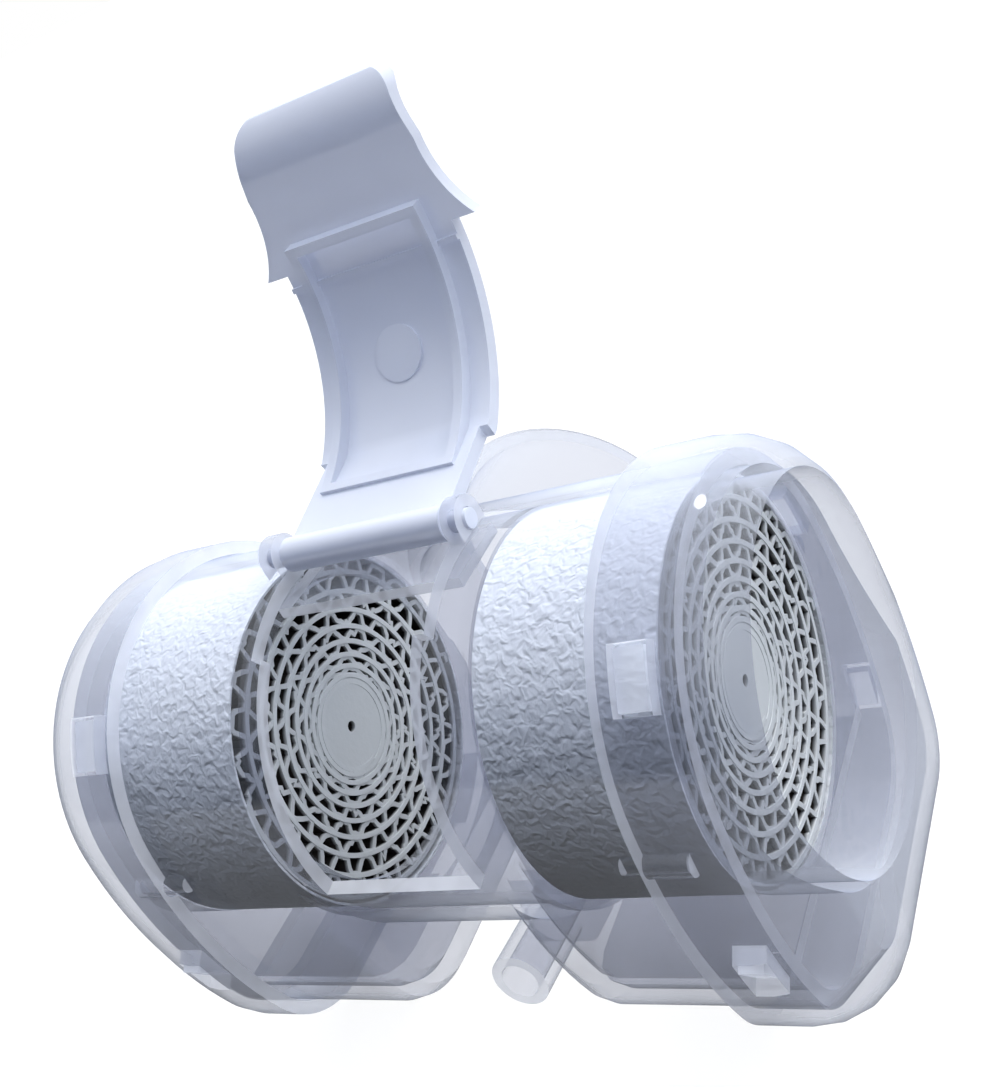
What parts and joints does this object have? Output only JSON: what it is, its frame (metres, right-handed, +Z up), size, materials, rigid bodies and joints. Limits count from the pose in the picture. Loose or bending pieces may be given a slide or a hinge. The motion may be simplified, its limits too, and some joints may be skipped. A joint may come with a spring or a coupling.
{
  "type": "heat and moisture exchanger",
  "caption": "Clear T-shaped tracheostomy heat and moisture exchanger with two paper rolls, flip-up suction lid, oxygen nozzle and female cone connector.",
  "frame": {"origin": "centre of the patient connector's mouth", "axes": "+X along the media rolls to the right, +Y out of the patient connector, -Y the side of the suction opening, +Z up from the flat keels"},
  "size_m": [0.045, 0.03, 0.0473],
  "materials": {
    "clear_plastic": "clear moulded plastic with a faint blue tint",
    "media_paper": "embossed white corrugated paper",
    "lid_plastic": "translucent soft moulded plastic with a blue tint"
  },
  "bodies": {
    "body": {"housing": "clear_plastic", "cap_right": "clear_plastic", "cap_left": "clear_plastic", "media_roll_right": "media_paper", "media_roll_left": "media_paper"},
    "lid": {"suction_lid": "lid_plastic"}
  },
  "joints": [
    {"name": "lid_hinge", "type": "hinge", "parent": "body", "child": "lid", "pos_m": [0, -0.017, 0.0129], "axis": [1, 0, 0], "range_deg": [0, 180]}
  ]
}
